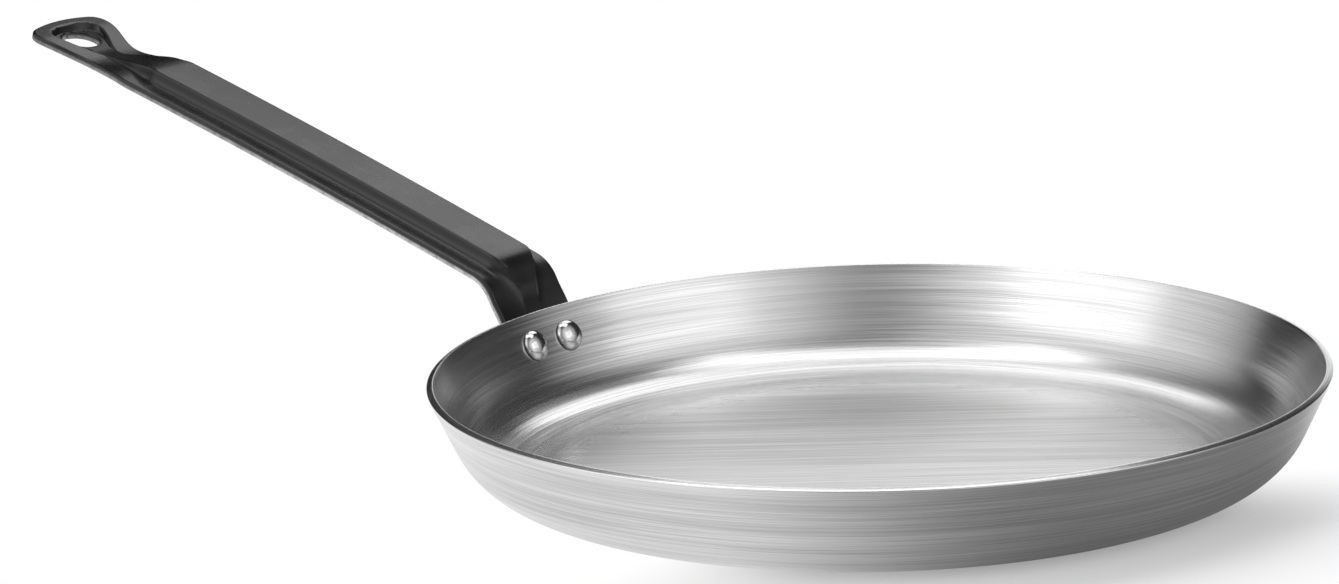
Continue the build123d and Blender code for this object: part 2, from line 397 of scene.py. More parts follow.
def brushing_group():
    """Node group of fine and broad streaks along X, shared by both kinds of brushing."""
    found = bpy.data.node_groups.get("Brushed Lines")
    if found:
        return found
    group, given, wanted = new_group(
        "Brushed Lines",
        [
            ("Vector", "NodeSocketVector", None),
            ("Fine", "NodeSocketFloat", 0.5),
            ("Broad", "NodeSocketFloat", 0.5),
        ],
        [("Lines", "NodeSocketFloat"), ("Bands", "NodeSocketFloat")],
    )
    fine = noise(group, given["Vector"], 1.0, 3.0, 0.6)
    medium, broad = (
        noise(group, vector_maths(group, "MULTIPLY", given["Vector"], shares), 1.0, 2.0, rough)
        for shares, rough in (((0.5, 0.22, 0.22), 0.5), ((0.35, 0.05, 0.05), 0.55))
    )
    link(group, mix(group, given["Fine"], medium, fine, "FLOAT"), wanted["Lines"])
    link(group, mix(group, given["Broad"], medium, broad, "FLOAT"), wanted["Bands"])
    return group


def pan_steel():
    """Brushed steel: round the wall and the corner, straight across the middle of the base."""
    finish = bpy.context.scene.crepe_pan_finish
    stage = bpy.context.scene.crepe_pan_stage
    material, tree, shader = new_material("pan_steel")
    place = object_place(tree)
    flat = vector_maths(tree, "MULTIPLY", place, (1.0, 1.0, 0.0))
    radius = vector_maths(tree, "LENGTH", flat)
    outward = vector_maths(tree, "NORMALIZE", flat)
    profile = maths(tree, "ADD", radius, axis_part(tree, place, "Z"))
    # Round brushing: the outward direction turns slowly, the place on the profile changes fast
    around = vector_maths(tree, "SCALE", outward, scale=CIRCLE_CELLS)
    across = tree.nodes.new("ShaderNodeCombineXYZ")
    fill(tree, across, Z=maths(tree, "MULTIPLY", profile, ROUND_CELLS))
    round_place = vector_maths(tree, "ADD", around, across.outputs[0])
    # Straight brushing, along the camera's right
    turned = tree.nodes.new("ShaderNodeMapping")
    back_turn = (0.0, 0.0, -(stage.bearing + math.radians(90.0)))
    fill(tree, turned, Vector=place, Rotation=back_turn)
    straight_place = vector_maths(tree, "MULTIPLY", turned.outputs[0], STRAIGHT_CELLS)
    round_lines = use_group(tree, brushing_group(), Vector=round_place, Fine=0.8, Broad=0.75)
    straight_lines = use_group(tree, brushing_group(), Vector=straight_place, Fine=0.8, Broad=0.6)
    # The straight lines end in a wavering border about where the corner bend starts
    wobble = noise(tree, vector_maths(tree, "SCALE", outward, scale=3.0), 1.0)
    edge = maths(tree, "MULTIPLY_ADD", wobble, BORDER_WOBBLE, radius)
    middle = spread(tree, edge, STRAIGHT_UNTIL, ROUND_FROM, 1.0, 0.0)
    lines, bands = (
        mix(tree, middle, round_lines[name], straight_lines[name], "FLOAT")
        for name in ("Lines", "Bands")
    )
    tone = maths(tree, "MULTIPLY_ADD", lines, 0.62, maths(tree, "MULTIPLY", bands, 0.38))
    tone = spread(tree, tone, 0.34, 0.66)
    steel = mix(tree, tone, rgba(finish.steel_dark), rgba(finish.steel_light))
    # The base is brushed a little less finely than the wall
    satin = mix(tree, middle, 0.23, 0.25, "FLOAT")
    rough = maths(tree, "MULTIPLY_ADD", bands, 0.06, satin)
    fill(tree, shader, Base_Color=steel, Roughness=rough, Metallic=1.0, Anisotropic=0.5)
    # The highlight spreads across the lines: down the wall, and front to back on the base
    circling = vector_maths(tree, "CROSS_PRODUCT", (0.0, 0.0, 1.0), outward)
    normal = tree.nodes.new("ShaderNodeNewGeometry").outputs["Normal"]
    down_wall = vector_maths(tree, "CROSS_PRODUCT", circling, normal)
    front = (math.cos(stage.bearing), math.sin(stage.bearing), 0.0)
    forward = turned_to(tree, down_wall, front)
    fill(tree, shader, Tangent=mix(tree, middle, down_wall, forward, "VECTOR"))
    # Each line leans a little along itself, which frays the ends of the highlights
    aside = turned_to(tree, circling, (-front[1], front[0], 0.0))
    along = mix(tree, middle, circling, aside, "VECTOR")
    lean = maths(tree, "MULTIPLY", maths(tree, "SUBTRACT", tone, 0.5), LINE_LEAN)
    leaning = vector_maths(tree, "ADD", normal, vector_maths(tree, "SCALE", along, scale=lean))
    leaning = vector_maths(tree, "NORMALIZE", leaning)
    add_bump(tree, shader, lines, 0.35, 0.00004, leaning)
    return material


def handle_lacquer():
    """Satin black lacquer over pressed strip, with a fine grain and rubbed patches."""
    finish = bpy.context.scene.crepe_pan_finish
    material, tree, shader = new_material("handle_lacquer")
    place = object_place(tree)
    grain = noise(tree, place, 1400.0, 3.0, 0.6)
    clouds = noise(tree, place, 60.0, 4.0, 0.6)
    worn = spread(tree, clouds, 0.45, 0.75)
    black = mix(tree, worn, rgba(finish.lacquer), rgba(finish.lacquer_worn))
    # Along the strip's lower edge the lacquer is rubbed to the steel, less so towards the tip
    kept = spread(tree, axis_part(tree, place, "X"), 0.20, 0.36, 1.0, 0.45)
    patches = spread(tree, noise(tree, place, 300.0, 3.0, 0.6), 0.36, 0.58, 0.65, 1.0)
    rubbed = spread(tree, attribute(tree, EDGE), 0.30, 0.65)
    bare = maths(tree, "MULTIPLY", maths(tree, "MULTIPLY", rubbed, patches), kept)
    colour_now = mix(tree, bare, black, rgba(finish.bare_edge))
    satin = spread(tree, clouds, 0.3, 0.7, 0.24, 0.32)
    rough = mix(tree, bare, satin, 0.42, "FLOAT")
    fill(tree, shader, Base_Color=colour_now, Roughness=rough)
    fill(tree, shader, Metallic=bare, Specular_IOR_Level=0.42)
    add_bump(tree, shader, grain, 0.25, 0.00006)
    return material


def rivet_steel():
    """Polished steel with faint handling marks, and painted shade at the head's foot."""
    plain = bpy.context.scene.crepe_pan_finish.rivet_steel
    material, tree, shader = new_material("rivet_steel")
    dark, crevice_shade_colour = (rgba([share * part for part in plain]) for share in (0.8, 0.06))
    marks = noise(tree, object_place(tree), 900.0, 3.0, 0.6)
    polished = mix(tree, spread(tree, marks, 0.3, 0.7), dark, rgba(plain))
    # Painted shade darkens the head where it meets the pan, standing in for contact shade in the
    # crevice
    crevice_shade_share = spread(tree, attribute(tree, FOOT), 0.2, 1.0)
    rough = spread(tree, marks, 0.3, 0.7, 0.09, 0.15)
    steel = mix(tree, crevice_shade_share, polished, crevice_shade_colour)
    fill(tree, shader, Base_Color=steel, Roughness=rough, Metallic=1.0)
    return material


# Steel pan

# Rows beside a bend hold the flat parts flat in the shading, this far from it
HOLD = 0.0008
BEND_STEPS = 14
RIM_STEPS = 4


def moved(point, direction, distance):
    """A point moved along a direction."""
    return (point[0] + direction[0] * distance, point[1] + direction[1] * distance)


def wall_lean(pan):
    """Angle of the pan's wall from upright."""
    return math.atan2(pan.wall_flare, pan.rim_height)


def pan_profile(sizes):
    """Closed line of the sheet: out along the base, up the wall, over the rim and back in."""
    lean = wall_lean(sizes)
    turn = math.pi / 2 - lean
    corner = sizes.rim_radius - sizes.wall_flare
    reach = sizes.bend_radius * math.tan(turn / 2)
    centre = (corner - reach, sizes.bend_radius)
    up = (math.sin(lean), math.cos(lean))
    inward = (-up[1], up[0])
    ends = (-math.pi / 2, turn - math.pi / 2)
    base_rows = (0.0, centre[0] * 0.5, centre[0] - HOLD)
    outside = [(place, 0.0) for place in base_rows]
    outside += arc_points(centre, sizes.bend_radius, *ends, BEND_STEPS)
    outside.append(moved(outside[-1], up, HOLD))
    inside = arc_points(centre, sizes.bend_radius - sizes.sheet, *reversed(ends), BEND_STEPS)
    inside.insert(0, moved(inside[0], up, HOLD))
    inside += [(place, sizes.sheet) for place in reversed(base_rows)]
    # The rim's two edges are rounded, each about its own centre
    round_by = sizes.rim_round
    outer_rim = (sizes.rim_radius, sizes.rim_height)
    inner_rim = moved(outer_rim, inward, sizes.sheet)
    outer_centre = moved(moved(outer_rim, inward, round_by), up, -round_by)
    inner_centre = moved(moved(inner_rim, inward, -round_by), up, -round_by)
    rim = arc_points(outer_centre, round_by, -lean, turn, RIM_STEPS)
    rim += arc_points(inner_centre, round_by, turn, turn + math.pi / 2, RIM_STEPS)
    # A row just below each rounding of the rim holds the wall straight
    rim.insert(0, moved(rim[0], up, -HOLD / 2))
    rim.append(moved(rim[-1], up, -HOLD / 2))
    return outside + rim + inside


class CREPEPAN_OT_body(bpy.types.Operator):
    """Turn the steel pan with its flat base, rounded corner, flared wall and square rim"""

    bl_idname = "crepe_pan.body"
    bl_label = "Pan Body"

    def execute(self, context):
        sizes = context.scene.crepe_pan_body
        piece = turned_piece("steel_pan", pan_profile(sizes), sizes.around)
        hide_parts("pan_body")
        finish_piece(piece, pan_steel(), 30.0)
        return {"FINISHED"}


# Strip handle

class StripShape:
    """The handle's form: where a point of the flat strip lies once it is pressed and bent."""

    # Under the strip the flank stands further in, by shares of its own height
    under_middle_share = 0.34
    under_border_share = 0.136
    # The dish rounds off towards the tip over this length, in the outer part of a rounded ring
    dish_round_off = 0.0125
    ring_power = 3
    ring_start = 0.86

    def __init__(self, strip, pan):
        self.strip = strip
        self.lean = wall_lean(pan)
        self.rise_angle = math.pi / 2 - self.lean
        self.turn = self.rise_angle - strip.stem_slope
        self.elbow = strip.elbow_radius * self.turn
        self.rim_radius = pan.rim_radius
        self.rim_height = pan.rim_height
        self.rim_place = -self.elbow - strip.foot_rise
        self.foot_end = self.rim_place - strip.foot_drop
        self.hole_place = strip.stem_length - strip.hole_from_end
        self.hole_radius = strip.hole_diameter / 2
        self.elbow_begin = self.foot_point(strip.foot_rise)
        self.elbow_end = arc_point(
            self.elbow_begin, self.rise_angle, strip.elbow_radius, strip.stem_slope
        )

    def foot_point(self, rise):
        """Point on the straight foot, a length above the rim along the wall."""
        return moved(
            (self.rim_radius, self.rim_height), (math.sin(self.lean), math.cos(self.lean)), rise
        )

    def line_place(self, along):
        """Point and slope of the top face at a length from the elbow's end."""
        strip = self.strip
        if along >= 0:
            slope = strip.stem_slope - along / strip.stem_bow
            return arc_point(self.elbow_end, strip.stem_slope, strip.stem_bow, slope), slope
        if along >= -self.elbow:
            slope = strip.stem_slope - along / strip.elbow_radius
            return arc_point(self.elbow_begin, self.rise_angle, strip.elbow_radius, slope), slope
        return self.foot_point(strip.foot_rise + along + self.elbow), self.rise_angle

    def half_width(self, along):
        """Half the width of the strip's outline, before its ends are rounded."""
        strip = self.strip
        into_neck = soft_step((along - strip.neck_place + strip.neck_run_in) / strip.neck_run_in)
        out_of_neck = soft_step((along - strip.neck_place) / strip.flare_run_out)
        width = strip.width + (strip.neck_width - strip.width) * into_neck
        return (width + (strip.flare_width - strip.neck_width) * out_of_neck) / 2

    def border_level(self, along):
        """Height of the flat borders, which dip at the neck."""
        strip = self.strip
        reach = min(abs(along - strip.neck_place) / strip.neck_dip_reach, 1)
        return -strip.neck_dip * (1 + math.cos(math.pi * reach)) / 2

    def middle_level(self, along):
        """Height of the middle: the rib, then the ramp down to the dish."""
        strip = self.strip
        rib_share = soft_step((along + self.elbow + strip.rib_low) / strip.rib_rise)
        ramp_share = soft_step((along - strip.rib_end) / strip.ramp_length)
        return strip.rib_height * rib_share - (strip.rib_height + strip.dish_depth) * ramp_share

    def border_width(self, along):
        """Width of the flat border."""
        strip = self.strip
        widen = soft_step((along - strip.rib_end) / strip.border_run_in)
        narrow = soft_step((along - strip.neck_place) / strip.flare_run_out)
        width = strip.stem_border + (strip.grip_border - strip.stem_border) * widen
        return width + (strip.side_border - strip.grip_border) * narrow

    def flank_width(self, along):
        """Width of the flank between the border and the middle, wide where the rib starts."""
        strip = self.strip
        tongue = 1 - soft_step((along + self.elbow) / self.elbow)
        change = soft_step((along - strip.rib_end) / strip.border_run_in)
        width = strip.rib_flank + (strip.dish_flank - strip.rib_flank) * change
        return width + strip.rib_tongue * tongue

    def creases(self, along):
        """Inner edge of the border, and edge of the middle, as distances from the centre line."""
        border = self.half_width(along) - self.border_width(along)
        return border, border - self.flank_width(along)

    def press_level(self, along, aside, under):
        """Height of the pressed form over the flat strip, on the top face or under it."""
        border, middle = self.creases(along)
        low = self.border_level(along)
        high = self.middle_level(along)
        if under:
            border -= self.under_border_share * (high - low)
            middle -= self.under_middle_share * (high - low)
        share = min(max((border - aside) / (border - middle), 0.0), 1.0)
        return low + (high - low) * flank_height(share) * self.dish_share(along, aside)

    def dish_share(self, along, aside):
        """How much of the dish is left as it rounds off towards the tip."""
        strip = self.strip
        end = strip.stem_length - strip.end_border
        start = end - self.dish_round_off
        if along <= start:
            return 1.0
        power = self.ring_power
        reach = (along - start) / (end - start)
        ring = (reach**power + (aside / self.creases(along)[0]) ** power) ** (1 / power)
        return 1.0 - soft_step((ring - self.ring_start) / (1 - self.ring_start))

    def crown(self, along):
        """How far the strip's edge bends towards the pan's wall, at half its width."""
        rise = min(along, self.rim_place) - self.rim_place
        across_radius = (self.rim_radius + rise * math.sin(self.lean)) / math.cos(self.lean)
        full = (self.strip.width / 2) ** 2 / (2 * across_radius)
        return full * soft_step((-self.elbow - along) / self.strip.foot_rise)

    def place(self, along, aside, under):
        """Point of the finished handle for a point of the flat strip."""
        point, slope = self.line_place(along)
        level = self.press_level(along, abs(aside), under)
        level += self.crown(along) * (aside / (self.strip.width / 2)) ** 2
        if under:
            level -= self.strip.thickness
        x = point[0] - level * math.sin(slope)
        z = point[1] + level * math.cos(slope)
        return Vector((x, aside, z))


def soft_step(value):
    """Smooth change from 0 to 1 while the value goes from 0 to 1."""
    value = min(max(value, 0.0), 1.0)
    return value * value * (3 - 2 * value)


def arc_point(start, start_angle, radius, angle_now):
    """Point where a line has turned down from one slope to another."""
    x = start[0] + radius * (math.sin(start_angle) - math.sin(angle_now))
    z = start[1] + radius * (math.cos(angle_now) - math.cos(start_angle))
    return (x, z)


# The concave flank is a cubic curve. Shares of its run and its height at the two middle points
FLANK_RUN_SHARES = (0.75, 0.9)
FLANK_HEIGHT_SHARES = (0.0, 0.25)
SOLVE_STEPS = 24


def cubic(t, middle_shares):
    """Value of a cubic curve from 0 to 1, by the shares at its two middle points."""
    first, second = middle_shares
    return 3 * t * (1 - t) ** 2 * first + 3 * t * t * (1 - t) * second + t**3


def flank_height(share):
    """Height of the flank, from 0 at the border to 1 at the middle, at a share of its run."""
    low, high = 0.0, 1.0
    for _ in range(SOLVE_STEPS):
        t = (low + high) / 2
        if cubic(t, FLANK_RUN_SHARES) < share:
            low = t
        else:
            high = t
    return cubic(t, FLANK_HEIGHT_SHARES)


class StripPlan:
    """Lays the rows and columns of a grid over half of the flat strip."""

    # Width of the last column, and the least width between two creases
    band = 0.00105
    crease_gap = 0.0002
    middle_columns = 9
    flank_columns = 9
    border_columns = 4
    # Columns gather at the top of the flank, where it is steep
    gather_power = 1.5
    corner_rows = 12
    hole_rows = 36
    fan_rows = 9
    # The row of the rib's end has a close neighbour, this far before it
    rib_end_step = 0.002
    # The part of the tip's outline that the last column takes up
    corner_share = 0.17

    def __init__(self, shape):
        self.shape = shape
        strip = shape.strip
        self.corner_side = strip.flare_width / 2 - strip.flare_corner
        self.reach = math.sqrt((strip.end_arc - strip.flare_corner) ** 2 - self.corner_side**2)
        self.corner_turn = math.atan2(self.corner_side, self.reach)
        self.corner_along = strip.stem_length + self.reach - strip.end_arc
        self.rows = self.straight_rows()
        self.columns = self.middle_columns + self.flank_columns + self.border_columns + 1

    def straight_rows(self):
        """Lengths of the rows that run straight across, from the foot's end towards the tip."""
        shape, strip = self.shape, self.shape.strip
        rows = []
        for index in range(self.corner_rows + 1):
            turn = math.pi / 2 * index / self.corner_rows
            rows.append(shape.foot_end + strip.foot_corner * (1 - math.cos(turn)))
        for end, count in (
            (shape.rim_place, 6),
            (-shape.elbow, 4),
            (0.0, 36),
            (strip.rib_end - self.rib_end_step, 32),
            (strip.rib_end, 2),
            (shape.hole_place - shape.hole_radius, 56),
        ):
            rows += stretch(rows[-1], end, count)
        for index in range(1, self.hole_rows + 1):
            turn = math.pi * index / self.hole_rows
            rows.append(shape.hole_place - shape.hole_radius * math.cos(turn))
        return rows

    def row_half_width(self, along):
        """Half width of the outline with the foot's and the flare's rounded corners."""
        shape = self.shape
        half = shape.half_width(along)
        foot = shape.strip.foot_corner
        from_foot = along - shape.foot_end
        if from_foot < foot:
            return half - foot + math.sqrt(max(foot**2 - (foot - from_foot) ** 2, 0.0))
        past = along - self.corner_along
        if past > 0:
            radius = shape.strip.flare_corner
            half = self.corner_side + math.sqrt(max(radius**2 - past**2, 0.0))
        return half

    def inner_edge(self, along):
        """Distance of the hole's edge from the centre line, or 0 where there is no hole."""
        away = along - self.shape.hole_place
        return math.sqrt(max(self.shape.hole_radius**2 - away**2, 0.0))

    def opens(self, row):
        """Whether a row's first point lies on the hole's edge."""
        return row < len(self.rows) and self.inner_edge(self.rows[row]) > TINY

    def straight_point(self, row, column):
        """Plan point (along, aside) of a straight row."""
        along = self.rows[row]
        half = self.row_half_width(along)
        if column == self.columns:
            return along, half
        rim = half - self.band
        border, middle = self.shape.creases(along)
        border = min(border, rim - self.crease_gap)
        middle = min(middle, border - self.crease_gap)
        inner = self.inner_edge(along)
        if column <= self.middle_columns:
            return along, inner + (middle - inner) * column / self.middle_columns
        column -= self.middle_columns
        if column <= self.flank_columns:
            share = (column / self.flank_columns) ** self.gather_power
            return along, middle + (border - middle) * share
        column -= self.flank_columns
        return along, border + (rim - border) * column / self.border_columns

    def end_outline(self, share):
        """Point and outward normal at a share of the tip's outline, which ends on the middle."""
        strip = self.shape.strip
        radius = strip.flare_corner
        first = math.acos(min((self.rows[-1] - self.corner_along) / radius, 1.0))
        corner_length = radius * (first - self.corner_turn)
        arc_length = strip.end_arc * self.corner_turn
        walked = share * (corner_length + arc_length)
        if walked < corner_length:
            turn = first - walked / radius
            centre = (self.corner_along, self.corner_side)
        else:
            turn = self.corner_turn - (walked - corner_length) / strip.end_arc
            centre = (strip.stem_length - strip.end_arc, 0.0)
            radius = strip.end_arc
        normal = (math.cos(turn), math.sin(turn))
        return moved(centre, normal, radius), normal

    def fan_point(self, row, column):
        """Plan point of a row that fans out from the last straight row to the tip's outline."""
        last = self.fan_rows
        if column == self.columns:
            return self.end_outline(self.corner_share * row / last)[0]
        start = self.straight_point(-1, column)
        aside_share = 1 - start[1] / self.straight_point(-1, self.columns)[1]
        share = self.corner_share + (1 - self.corner_share) * aside_share
        edge, normal = self.end_outline(share)
        if row == last:
            return edge
        ring = (edge[0] - self.band * normal[0], max(edge[1] - self.band * normal[1], 0.0))
        part = row / (last - 1)
        return (start[0] + (ring[0] - start[0]) * part, start[1] + (ring[1] - start[1]) * part)

    def row_count(self):
        """Rows of faces along the strip."""
        return len(self.rows) - 1 + self.fan_rows

    def point(self, row, column):
        """Plan point of any row and column."""
        if row < len(self.rows):
            return self.straight_point(row, column)
        return self.fan_point(row - len(self.rows) + 1, column)


def stretch(start, end, count):
    """Evenly spaced lengths after a start, up to an end."""
    return [start + (end - start) * index / count for index in range(1, count + 1)]


class CREPEPAN_OT_handle(bpy.types.Operator):
    """Press and bend the strip handle with its rib, neck, flared end and hanging hole"""

    bl_idname = "crepe_pan.handle"
    bl_label = "Strip Handle"

    # Edges that turn by more are rounded, in so many steps
    sharp_degrees = 72
    round_steps = 4

    def execute(self, context):
        shape = StripShape(context.scene.crepe_pan_handle, context.scene.crepe_pan_body)
        plan = StripPlan(shape)
        rows, columns = plan.row_count(), plan.columns
        # Half of the strip as a flat plate, one unit to a row and to a column
        deselect_all()
        bpy.ops.mesh.primitive_grid_add(x_subdivisions=rows, y_subdivisions=columns, size=2.0)
        piece = start_object("strip_handle")
        bpy.ops.object.mode_set(mode="EDIT")
        bpy.ops.mesh.select_mode(type="FACE")
        bpy.ops.mesh.select_all(action="SELECT")
        bpy.ops.transform.translate(value=(1.0, 1.0, 0.0))
        bpy.ops.transform.resize(value=(rows / 2, columns / 2, 1.0), center_override=(0, 0, 0))
        bpy.ops.mesh.extrude_region_move(TRANSFORM_OT_translate={"value": (0, 0, -1)})
        bpy.ops.object.mode_set(mode="OBJECT")
        # The plate's points go to their places on the pressed and bent strip
        edge = piece.data.attributes.new(EDGE, "FLOAT", "POINT")
        for vertex in piece.data.vertices:
            row, column = round(vertex.co.x), round(vertex.co.y)
            along, aside = plan.point(row, column)
            on_hole = column == 0 and plan.opens(row)
            # The plate's lower face lies one unit down
            under = vertex.co.z < -0.5
            on_edge = on_hole or column == columns or row in (0, rows)
            edge.data[vertex.index].value = float(under and on_edge)
            vertex.co = shape.place(along, aside, under)
        # The wall on the centre line goes, and the other half is mirrored
        middle_points = {v.index for v in piece.data.vertices if abs(v.co.y) < MIDDLE_REACH}
        for face in piece.data.polygons:
            face.select = middle_points.issuperset(face.vertices)
        bpy.ops.object.mode_set(mode="EDIT")
        bpy.ops.mesh.delete(type="FACE")
        bpy.ops.object.mode_set(mode="OBJECT")
        mirror = piece.modifiers.new("Other side", "MIRROR")
        mirror.use_axis = (False, True, False)
        mirror.merge_threshold = TINY
        bpy.ops.object.modifier_apply(modifier=mirror.name)
        clean_shell()
        # The strip's edges and the hole's edges are rounded
        bpy.ops.object.mode_set(mode="EDIT")
        bpy.ops.mesh.select_mode(type="EDGE")
        bpy.ops.mesh.select_all(action="DESELECT")
        bpy.ops.mesh.edges_select_sharp(sharpness=math.radians(self.sharp_degrees))
        bpy.ops.mesh.bevel(
            offset=shape.strip.edge_round,
            segments=self.round_steps,
            profile=0.5,
            clamp_overlap=False,
        )
        bpy.ops.object.mode_set(mode="OBJECT")
        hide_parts("handle")
        finish_piece(piece, handle_lacquer(), 30.0)
        return {"FINISHED"}


# Rivets

DOME_STEPS = 12
RIVET_STEPS = 48
# Height above the head's seat over which painted shade darkens the rivet
CREVICE_SHADE_HEIGHT = 0.0011


def ring_share(step):
    """Radius of a dome's ring, from 0 at its tip to 1 at its foot."""
    return math.sin(math.pi / 2 * step / DOME_STEPS)


def dome_share(step):
    """Height of a dome's ring, from 1 at its tip to 0 at its foot."""
    return math.cos(math.pi / 2 * step / DOME_STEPS)


def rivet_profile(rivet, strip, pan):
    """Line of a rivet from its tail's tip to its head's, with heights over the wall's outside."""
    lean = wall_lean(pan)
    head, tail, shank = rivet.head_diameter / 2, rivet.tail_diameter / 2, rivet.shank_diameter / 2
    inner_radius = pan.rim_radius - rivet.drop * math.sin(lean) - pan.sheet * math.cos(lean)
    head_seat = pan.sheet + head**2 * math.cos(lean) / (2 * inner_radius)
    tail_seat = -strip.thickness
    steps = range(DOME_STEPS + 1)
    tails = [(tail * ring_share(n), tail_seat - rivet.tail_height * dome_share(n)) for n in steps]
    heads = [(head * ring_share(n), head_seat + rivet.head_height * dome_share(n)) for n in steps]
    return tails + [(shank, tail_seat), (shank, head_seat)] + heads[::-1]


class CREPEPAN_OT_rivets(bpy.types.Operator):
    """Set the two rivets through the pan's wall and the handle's foot"""

    bl_idname = "crepe_pan.rivets"
    bl_label = "Rivets"

    def execute(self, context):
        pan = context.scene.crepe_pan_body
        rivet = context.scene.crepe_pan_rivets
        strip = context.scene.crepe_pan_handle
        lean = wall_lean(pan)
        circle = pan.rim_radius - rivet.drop * math.sin(lean)
        height = pan.rim_height - rivet.drop * math.cos(lean)
        turn = math.asin(rivet.spacing / 2 / (circle - pan.sheet * math.cos(lean)))
        material = rivet_steel()
        for name, side in (("rivet_left", 1), ("rivet_right", -1)):
            profile = rivet_profile(rivet, strip, pan)
            piece = turned_piece("domed_" + name, profile, RIVET_STEPS)
            seat = profile[-1][1] - rivet.head_height
            foot = piece.data.attributes.new(FOOT, "FLOAT", "POINT")
            # Points just above the head's seat get painted shade where the head meets the pan
            for vertex in piece.data.vertices:
                over = vertex.co.z - seat
                near = max(1.0 - over / CREVICE_SHADE_HEIGHT, 0.0)
                foot.data[vertex.index].value = near if over > -SEAT_SLACK else 0.0
            # The rivet's axis points into the pan, square to the leaning wall
            to_side = Matrix.Rotation(side * turn, 4, "Z")
            aim = Matrix.Rotation(lean - math.pi / 2, 4, "Y")
            seat_place = Matrix.Translation((circle, 0.0, height))
            piece.data.transform(to_side @ seat_place @ aim)
            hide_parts(name)
            finish_piece(piece, material, 50.0)
        return {"FINISHED"}


# Stage

# Name, azimuth and elevation in degrees, distance, size and brightness of each lamp
LAMPS = (
    ("top", 180, 79, 1.5, (1.5, 0.6), 2.4),
    ("left", -66, 31, 2.0, (1.5, 0.9), 0.7),
    ("right", 64, 31, 2.0, (1.4, 0.9), 0.6),
    ("back", 178, 45, 1.0, (0.60, 0.50), 2.0),
)
# Halos of the side lamps: azimuth, brightness, and the cosine of the angle that each reaches
HALOS = ((-74, 1.0, 0.52), (62, 0.75, 0.66))
HALO_ELEVATION = 30
# The pan's shadow shows between these distances on the floor, round this azimuth
SHADOW_REACH = (0.145, 0.215)
SHADOW_AZIMUTH = 25
# Reflections show painted light and painted shade on the floor near the pan, darkest round this
# azimuth
MIRRORED_REACH = (0.22, 0.6)
PAINTED_SHADE_AZIMUTH = 48
FLOOR_GAP = 0.0001
# The black card: its size, its distance behind the handle's grip and its shift to the left
CARD_SIZE = (0.42, 0.26)
CARD_BEHIND = 0.30
CARD_LEFT = 0.09
GRIP_PLACE = 0.34


def view_direction(stage, azimuth, elevation):
    """Direction from the pan, in degrees. The azimuth counts from the camera to its right."""
    bearing = stage.bearing + math.radians(azimuth)
    flat, up = math.cos(math.radians(elevation)), math.sin(math.radians(elevation))
    return Vector((flat * math.cos(bearing), flat * math.sin(bearing), up))


def soft_box(stage, name, azimuth, elevation, distance, size, level):
    """An area lamp of a given brightness, aimed at the pan's middle."""
    lamp = bpy.data.lights.new(name, "AREA")
    lamp.shape = "RECTANGLE"
    lamp.size, lamp.size_y = size
    lamp.energy = level * math.pi * size[0] * size[1]
    holder = bpy.data.objects.new(name, lamp)
    bpy.context.scene.collection.objects.link(holder)
    direction = view_direction(stage, azimuth, elevation)
    holder.location = direction * distance
    holder.rotation_euler = direction.to_track_quat("Z", "Y").to_euler()
    holder.visible_camera = False


def ray_kinds(tree):
    """Camera rays, and the rays that see the surroundings in a reflection or through glass."""
    rays = tree.nodes.new("ShaderNodeLightPath").outputs
    mirrored = maths(tree, "MAXIMUM", rays["Is Glossy Ray"], rays["Is Transmission Ray"])
    return rays["Is Camera Ray"], mirrored


def toward(tree, stage, direction, azimuth, elevation=0):
    """How closely a direction points to an azimuth and elevation, as a cosine."""
    aim = tuple(view_direction(stage, azimuth, elevation))
    return vector_maths(tree, "DOT_PRODUCT", direction, aim)


def studio_world(stage, finish):
    """White for the camera, and a dim room with light in front, behind and by the lamps."""
    world = bpy.data.worlds.new("Studio")
    bpy.context.scene.world = world
    world.use_nodes = True
    tree = world.node_tree
    background = tree.nodes["Background"]
    camera, mirrored = ray_kinds(tree)
    direction = tree.nodes.new("ShaderNodeTexCoord").outputs["Generated"]
    facing = toward(tree, stage, direction, 0)
    before = spread(tree, facing, 0.0, 0.8, 0.04, 0.42)
    behind = spread(tree, facing, -0.86, -0.97, 0.0, 1.2)
    level = maths(tree, "ADD", before, behind)
    for azimuth, halo, reach in HALOS:
        near = toward(tree, stage, direction, azimuth, HALO_ELEVATION)
        level = maths(tree, "ADD", level, spread(tree, near, reach, 0.97, 0.0, halo))
    studio = tree.nodes.new("ShaderNodeCombineColor")
    fill(tree, studio, Red=level, Green=level, Blue=level)
    seen_colour = mix(tree, camera, studio.outputs[0], rgba(finish.backdrop))
    seen = maths(tree, "MAXIMUM", camera, mirrored)
    fill(tree, background, Color=seen_colour, Strength=spread(tree, seen, 0.0, 1.0, 0.9, 1.0))


